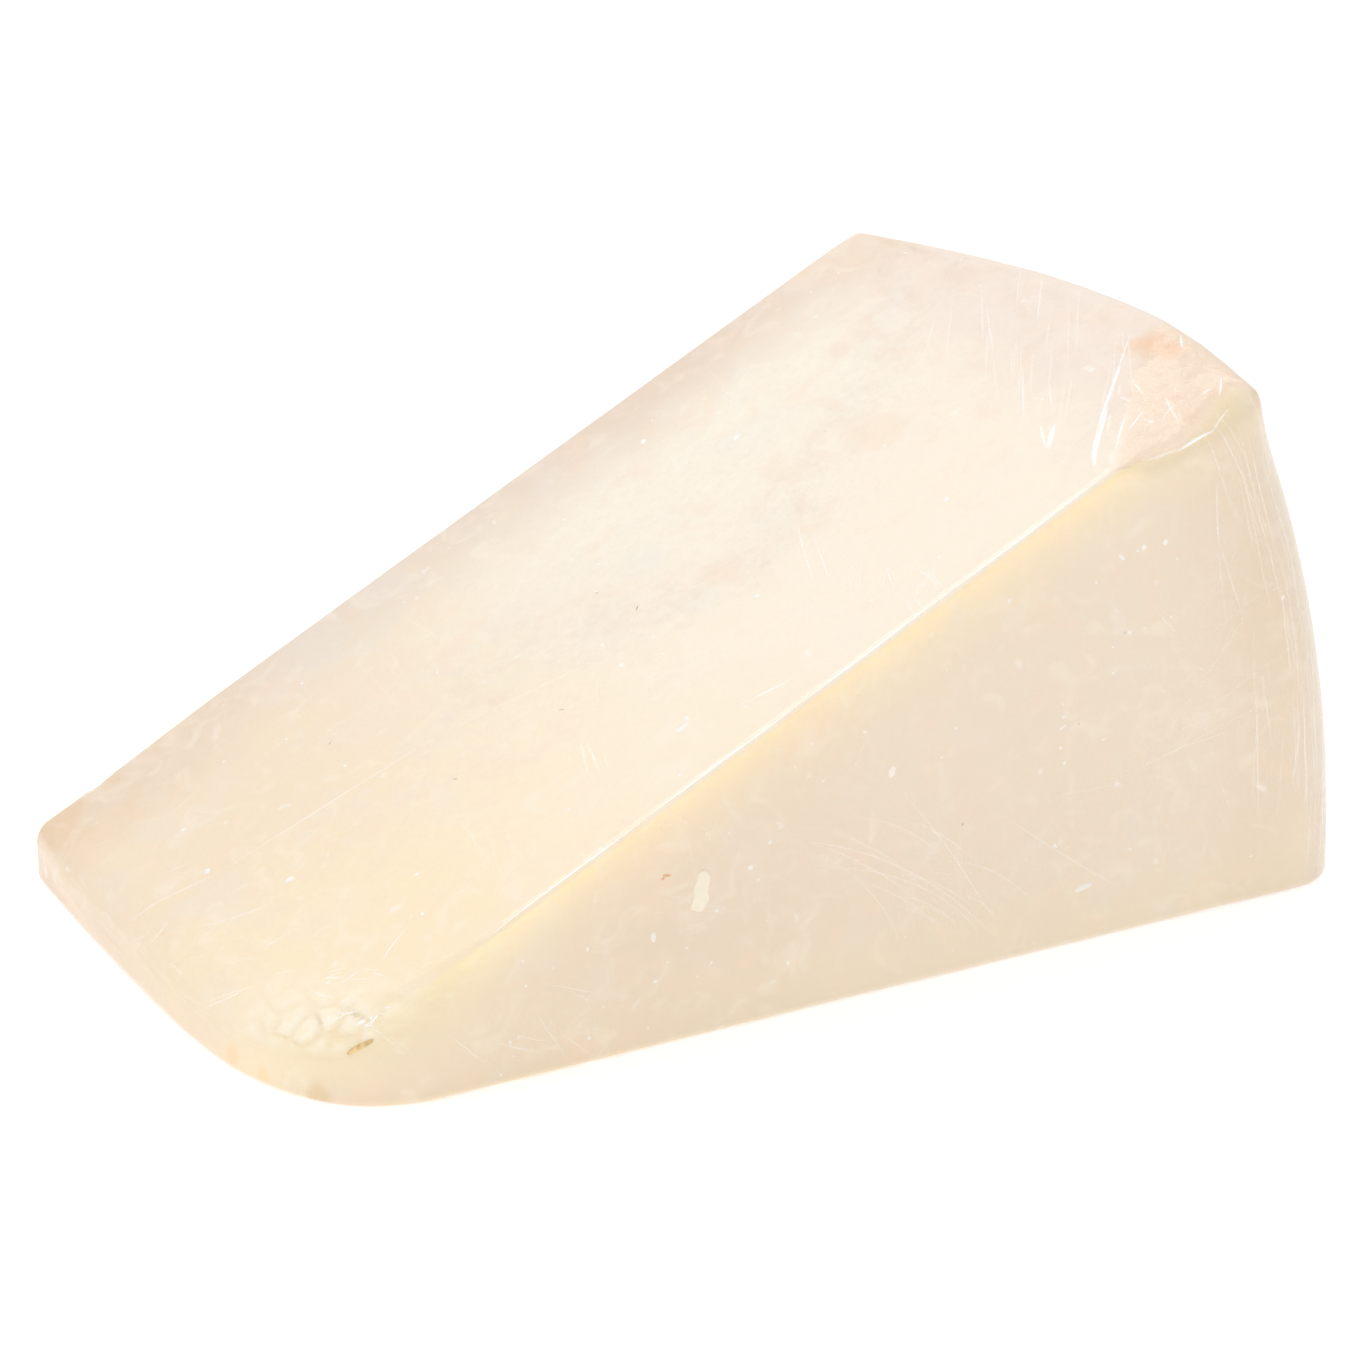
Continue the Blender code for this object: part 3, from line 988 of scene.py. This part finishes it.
def film_folds(wedge, settings):
    """Narrow raised ridges that lie on the film.

    Each ridge runs from its start to its end with a sideways bow of 4 t (1 - t) and a slow
    random waver. It settles on the film and then rises to a rounded crest across its width.
    Returns the vertices, the faces and the strength at each vertex.
    """
    start, end, bow, width, strength = fold_lines(wedge)
    count = len(start)
    t = np.linspace(0.0, 1.0, FOLD_STEPS)
    rng = np.random.default_rng(19)
    waver = rng.normal(0.0, 1.0, (count, 3, 1)) / np.array((2.0, 4.0, 6.0)).reshape(1, 3, 1)
    waver = np.sum(waver * np.sin(np.pi * np.array((2, 3, 5)).reshape(1, 3, 1) * t), axis=1)
    run = end - start
    size = np.linalg.norm(run, axis=1)
    path = start[:, None] + run[:, None] * t[:, None]
    _, up = wedge.settle((start + end) / 2.0, FILM_CHIP)
    side = np.cross(run, up)
    side /= np.linalg.norm(side, axis=1)[:, None]
    stray = settings.waver * (size[:, None] / 0.02) ** 0.5 * waver
    shift = bow[:, None] * 4.0 * t * (1.0 - t) + stray
    path = path + side[:, None] * shift[:, :, None]
    path, up = wedge.settle(path.reshape(-1, 3), FILM_CHIP, settings.gap + settings.fold_lift)
    path = path.reshape(count, FOLD_STEPS, 3)
    up = up.reshape(count, FOLD_STEPS, 3)
    along = np.gradient(path, axis=1)
    side = np.cross(along, up)
    side /= np.linalg.norm(side, axis=2)[:, :, None]
    taper = np.clip(np.sin(np.pi * t), 0.0, 1.0) ** 0.5
    across = np.linspace(-1.0, 1.0, FOLD_POINTS)
    half = (width[:, None] * (0.25 + 0.75 * taper))[:, :, None, None]
    rise = 1.0 - across ** 2
    points = path[:, :, None] + side[:, :, None] * half * across[:, None] \
        + up[:, :, None] * half * settings.fold_rise * rise[:, None]
    power = strength[:, None, None] * taper[:, None] * rise
    row = np.arange(count * FOLD_STEPS).reshape(count, FOLD_STEPS)[:, :-1].reshape(-1, 1)
    first = (row * FOLD_POINTS + np.arange(FOLD_POINTS - 1)).reshape(-1)
    ahead = first + FOLD_POINTS
    faces = np.stack((first, first + 1, ahead + 1, ahead), axis=1)
    return points.reshape(-1, 3), faces, power.reshape(-1)


def fold_material():
    """Folded film: cloudier and brighter than the flat film, by the strength on its mesh. The
    near-white is partly the real clouding of a crease and partly painted highlight where the film
    catches the light.
    """
    g = Graph("film_fold")
    strength = g.node("ShaderNodeAttribute", {"attribute_name": "strength"}, None, "Fac")
    place = g.node("ShaderNodeTexCoord", None, None, "Object")
    breaks = g.step(g.noise(place, 420.0, 3.0, 0.6), 0.30, 0.55)
    cloudy = g.node("ShaderNodeBsdfPrincipled", None, {
        "Base Color": (0.99, 0.99, 0.99), "Roughness": 0.25})
    clear = g.node("ShaderNodeBsdfTransparent", None, {"Color": WHITE})
    return g.finish(g.node("ShaderNodeMixShader", None, {
        0: (strength * (0.4 + 0.6 * breaks) * 1.4).math('MINIMUM', 1.0), 1: clear, 2: cloudy}))


class WEDGE_OT_folds(bpy.types.Operator):
    """Build the folds of the film"""

    bl_idname = "wedge.folds"
    bl_label = "Build folds"

    def execute(self, context):
        wedge = Wedge(context.scene.wedge_sizes)
        settings = context.scene.wedge_film
        points, faces, strength = film_folds(wedge, settings)
        piece = add_object("film_folds", points + wedge.origin, faces, fold_material(),
                           {"strength": strength})
        piece.visible_shadow = False
        piece.visible_diffuse = False
        return {'FINISHED'}


# ---- Stage ----

def area_light(name, place, target, size, power):
    """A square or oblong lamp at a place, facing a target."""
    lamp = bpy.data.lights.new(name, 'AREA')
    lamp.shape = 'RECTANGLE'
    lamp.size, lamp.size_y = size
    lamp.energy = power
    item = bpy.data.objects.new(name, lamp)
    item.location = place
    item.rotation_euler = (Vector(target) - Vector(place)).to_track_quat('-Z', 'Y').to_euler()
    bpy.context.scene.collection.objects.link(item)


class WEDGE_OT_stage(bpy.types.Operator):
    """Build the floor, the lights and the camera"""

    bl_idname = "wedge.stage"
    bl_label = "Build stage"

    def execute(self, context):
        scene = context.scene
        settings = scene.wedge_stage
        g = Graph("floor")
        surface = g.node("ShaderNodeBsdfPrincipled", None, {
            "Base Color": (0.92, 0.92, 0.92), "Roughness": 0.9,
            "Emission Color": WHITE, "Emission Strength": settings.floor_glow})
        floor = bpy.data.objects.new("floor", bpy.data.meshes.new("floor"))
        corners = [(-6.0, -6.0, 0.0), (6.0, -6.0, 0.0), (6.0, 6.0, 0.0), (-6.0, 6.0, 0.0)]
        floor.data.from_pydata(corners, [], [(0, 1, 2, 3)])
        floor.data.materials.append(g.finish(surface))
        scene.collection.objects.link(floor)

        world = bpy.data.worlds.new("studio")
        world.use_nodes = True
        background = world.node_tree.nodes["Background"]
        background.inputs["Color"].default_value = (*WHITE, 1.0)
        background.inputs["Strength"].default_value = settings.world_light
        scene.world = world

        area_light("overhead", place=(0.1, 0.5, 1.3), target=(0.0, 0.0, 0.04), size=(1.2, 0.9),
                   power=5.5)
        area_light("fill", place=(-0.35, -1.0, 1.5), target=(0.0, 0.0, 0.05), size=(1.6, 1.0),
                   power=2.0)

        camera = bpy.data.cameras.new("camera")
        camera.sensor_width = 36.0
        camera.lens = settings.lens
        item = bpy.data.objects.new("camera", camera)
        item.location = settings.camera_place
        item.rotation_euler = (radians(90.0) - settings.elevation, 0.0, -settings.azimuth)
        scene.collection.objects.link(item)
        scene.camera = item

        scene.view_settings.view_transform = 'Standard'
        return {'FINISHED'}


class WEDGE_PT_panel(bpy.types.Panel):
    """Buttons that build each piece"""

    bl_idname = "WEDGE_PT_panel"
    bl_label = "Wrapped cheese wedge"
    bl_space_type = 'VIEW_3D'
    bl_region_type = 'UI'
    bl_category = "Cheese"

    def draw(self, context):
        for operator in BUILDERS:
            self.layout.operator(operator.bl_idname)


BUILDERS = (WEDGE_OT_cheese, WEDGE_OT_marks, WEDGE_OT_film, WEDGE_OT_folds, WEDGE_OT_stage)
GROUPS = {
    "wedge_sizes": WedgeSettings,
    "wedge_cheese": CheeseSettings,
    "wedge_film": FilmSettings,
    "wedge_stage": StageSettings,
}


def register():
    """Register the settings, the operators and the panel."""
    for name, group in GROUPS.items():
        bpy.utils.register_class(group)
        setattr(bpy.types.Scene, name, bpy.props.PointerProperty(type=group))
    for item in BUILDERS + (WEDGE_PT_panel,):
        bpy.utils.register_class(item)


def unregister():
    """Undo register."""
    for item in reversed(BUILDERS + (WEDGE_PT_panel,)):
        bpy.utils.unregister_class(item)
    for name, group in GROUPS.items():
        delattr(bpy.types.Scene, name)
        bpy.utils.unregister_class(group)


def main():
    """Build every piece."""
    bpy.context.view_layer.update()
    register()
    bpy.ops.wedge.cheese()
    bpy.ops.wedge.marks()
    bpy.ops.wedge.film()
    bpy.ops.wedge.folds()
    bpy.ops.wedge.stage()


if __name__ == "__main__":
    main()
